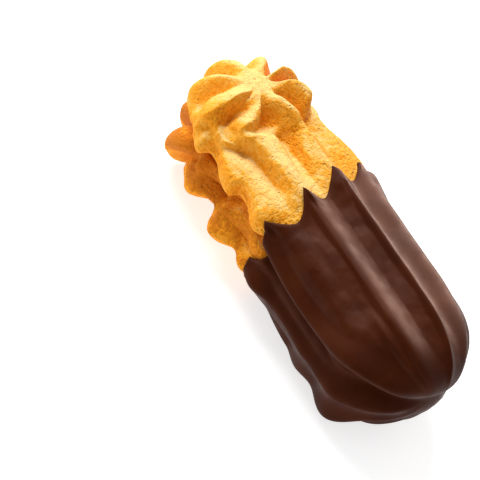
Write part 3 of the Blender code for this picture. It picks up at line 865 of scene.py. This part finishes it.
def makeChocolateFinish(name, kind):
    finish = Finish(name)
    clouds = finish.noise(**kind["clouds"]).over(*kind["cloudEdge"])
    low, high = kind["roughness"]
    roughness = finish.noise(**kind["roughPatches"]).over(*kind["roughEdge"]) * (high - low) + low
    waves = finish.noise(**kind["waves"]) * kind["waveHeight"]
    ripples = finish.noise(**kind["ripples"]) * kind["rippleHeight"]
    finish.set({"Base Color": finish.colours(clouds, kind["deep"], kind["lifted"]), "Roughness": roughness})
    finish.set({"Specular IOR Level": kind["gloss"], "Specular Tint": kind["sheen"]})
    finish.set({"Normal": finish.bump(waves + ripples, kind["relief"])})
    return finish.material


view = {
    "azimuth": 60.905,
    "elevation": 39.895,
    "roll": 36.022,
    "distance": 524.52,
    "frame": 480,    # the photograph's side, in pixels
    "middle": (318.705, 228.773),    # the pixel where the seam's middle lies
    "pixelsPerMm": 5.37725,
    "sensor": 36,
    "clip": (10.0, 20000.0),
}


def makeCamera():
    a, e, roll = (math.radians(view[key]) for key in ("azimuth", "elevation", "roll"))
    toward = Vector((math.cos(e) * math.cos(a), -math.cos(e) * math.sin(a), math.sin(e)))
    level = Vector((math.sin(a), math.cos(a), 0))
    rising = Vector((-math.sin(e) * math.cos(a), math.sin(e) * math.sin(a), math.cos(e)))
    right = level * math.cos(roll) + rising * math.sin(roll)
    up = rising * math.cos(roll) - level * math.sin(roll)
    camera = bpy.data.objects.new("camera", bpy.data.cameras.new("camera"))
    bpy.context.scene.collection.objects.link(camera)
    middle = Vector((*whole["centring"], whole["seamHeight"])) * mm
    turned = Matrix((right, up, toward)).transposed().to_4x4()
    camera.matrix_world = Matrix.Translation(middle + toward * view["distance"] * mm) @ turned
    camera.data.sensor_width = view["sensor"]
    camera.data.lens = view["sensor"] * view["distance"] * view["pixelsPerMm"] / view["frame"]
    camera.data.shift_x = 0.5 - view["middle"][0] / view["frame"]
    camera.data.shift_y = view["middle"][1] / view["frame"] - 0.5
    camera.data.clip_start, camera.data.clip_end = (length * mm for length in view["clip"])
    bpy.context.scene.camera = camera
    return middle, right, up, toward


# a lamp's direction is as seen from the camera: right, up and nearer
lighting = {
    "lamps": {
        "key": {
            "direction": (0.0, 0.98, 0.15), "distance": 600.0, "size": 500.0, "watts": 5.2,
            "colour": (1.0, 1.0, 1.0), "gleamsOnly": False,
        },
        "back": {
            "direction": (0.62, 0.60, -0.50), "distance": 600.0, "size": 360.0, "watts": 4.6,
            "colour": (1.0, 0.76, 0.64), "gleamsOnly": True,
        },
    },
    "fill": (1.0, 1.0, 1.0),
    "fillStrength": 0.52,
}


def makeLights(middle, right, up, toward):
    for name, kind in lighting["lamps"].items():
        x, y, z = kind["direction"]
        direction = (right * x + up * y + toward * z).normalized()
        data = bpy.data.lights.new(name, "AREA")
        data.shape = "DISK"
        data.size = kind["size"] * mm
        data.energy = kind["watts"]
        data.color = kind["colour"]
        lamp = bpy.data.objects.new(name, data)
        bpy.context.scene.collection.objects.link(lamp)
        turned = direction.to_track_quat("Z", "Y").to_matrix().to_4x4()
        lamp.matrix_world = Matrix.Translation(middle + direction * kind["distance"] * mm) @ turned
        lamp.visible_diffuse = not kind["gleamsOnly"]
    world = bpy.data.worlds.new("studio")
    world.use_nodes = True
    background = world.node_tree.nodes["Background"]
    background.inputs["Color"].default_value = (*lighting["fill"], 1)
    background.inputs["Strength"].default_value = lighting["fillStrength"]
    bpy.context.scene.world = world
    bpy.context.scene.view_settings.view_transform = "Standard"


paleFloor = {
    "halfSize": 3000.0,
    "colour": (0.6, 0.6, 0.6),
    "roughness": 0.9,
    "glowColour": (1.0, 1.0, 1.0),
    "glow": 0.7,
}


def makeFloor(kind):
    mesh = bpy.data.meshes.new("floor")
    bm = bmesh.new()
    bmesh.ops.create_grid(bm, x_segments=1, y_segments=1, size=kind["halfSize"] * mm)
    bm.to_mesh(mesh)
    bm.free()
    floor = bpy.data.objects.new("floor", mesh)
    bpy.context.scene.collection.objects.link(floor)
    finish = Finish("paleFloor")
    finish.set({"Base Color": kind["colour"], "Roughness": kind["roughness"]})
    finish.set({"Emission Color": kind["glowColour"], "Emission Strength": kind["glow"]})
    mesh.materials.append(finish.material)


makeLights(*makeCamera())
makeFloor(paleFloor)
print("camera, lights and floor are set")

biscuit = makeBiscuitFinish("bakedBiscuit", bakedBiscuit)
chocolate = makeChocolateFinish("darkChocolate", darkChocolate)
print("finishes are made")

upper = makeFinger("upperFinger", topFinger, False)
lower = makeFinger("lowerFinger", bottomFinger, True)
coat = makeCoat("chocolateDip", [treeOf(upper), treeOf(lower)])

for piece, node, slot, material in (
    (upper, "top_finger", "baked_biscuit", biscuit),
    (lower, "bottom_finger", "baked_biscuit", biscuit),
    (coat, "chocolate_coat", "dark_chocolate", chocolate),
):
    piece.data.materials.append(material)
    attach(piece, "root")
    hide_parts(node)
print("pieces are placed")
